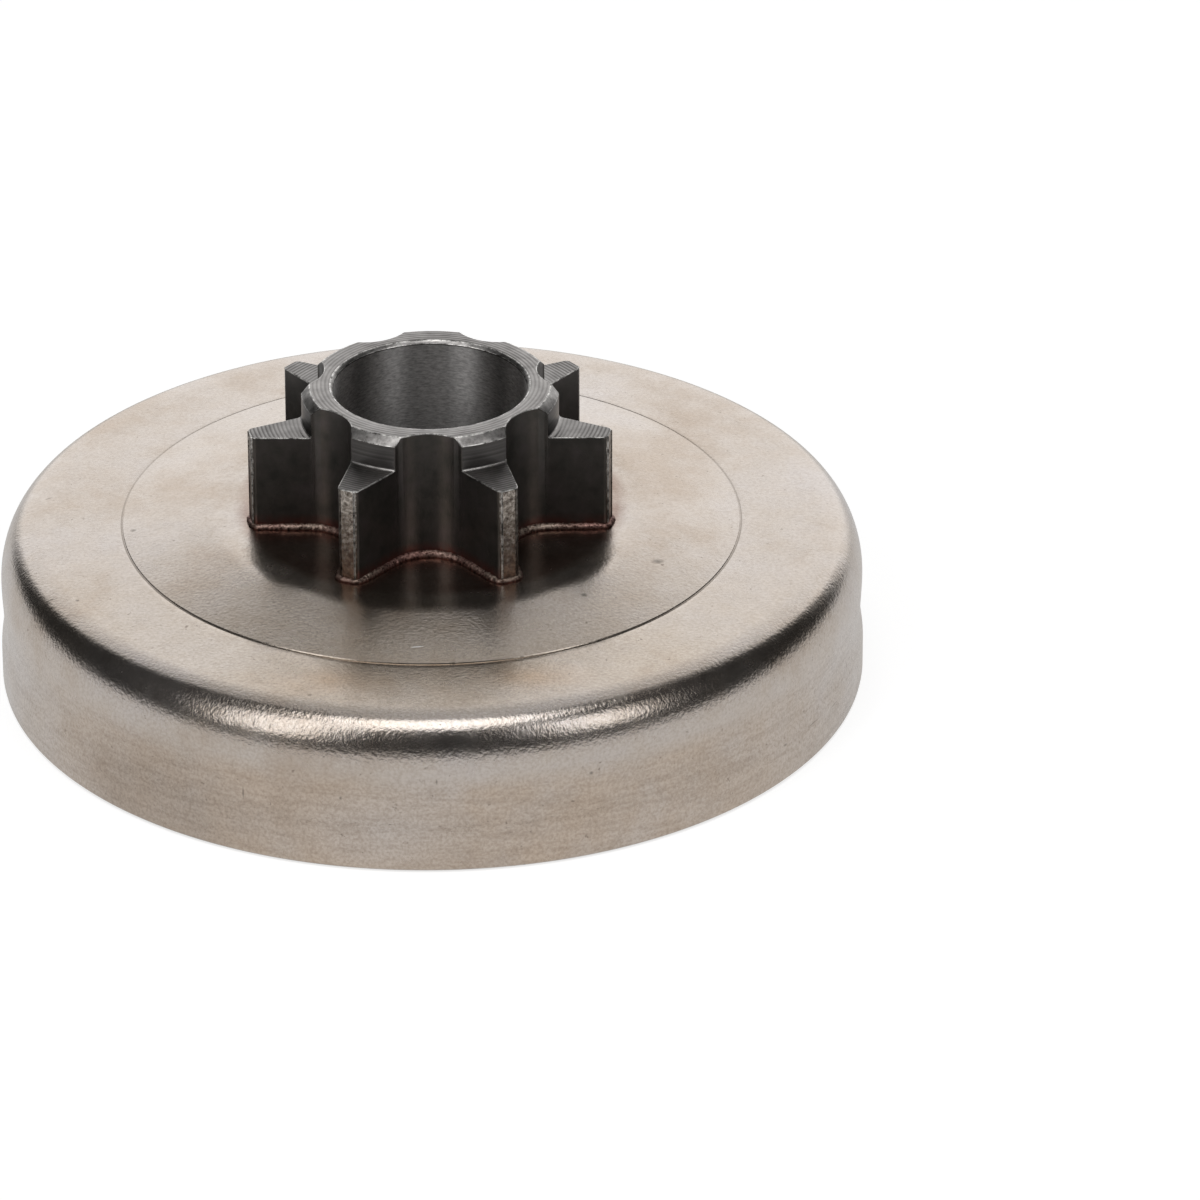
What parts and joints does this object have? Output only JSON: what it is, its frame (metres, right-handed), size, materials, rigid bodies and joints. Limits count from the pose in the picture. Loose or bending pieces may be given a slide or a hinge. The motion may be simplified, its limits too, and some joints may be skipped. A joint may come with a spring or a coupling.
{
  "type": "spur sprocket",
  "caption": "Pressed steel clutch drum, open side down, with a toothed spur sprocket brazed on its domed face and a needle bearing bore through the hub, for driving a saw chain.",
  "frame": {"origin": "on the axis of the drum, in the plane of its rim", "axes": "+Z along the axis from the open rim to the top of the hub; +Y through the middle of one tooth"},
  "size_m": [0.0812, 0.0812, 0.0291],
  "materials": {
    "drum_steel": "satin, lightly stained pressed steel",
    "sprocket_steel": "dark satin hardened steel, grey on the turned faces",
    "braze": "dull copper braze"
  },
  "bodies": {
    "root": {"clutch_drum": "drum_steel", "spur_sprocket": "sprocket_steel", "braze_fillet": "braze"}
  },
  "joints": []
}
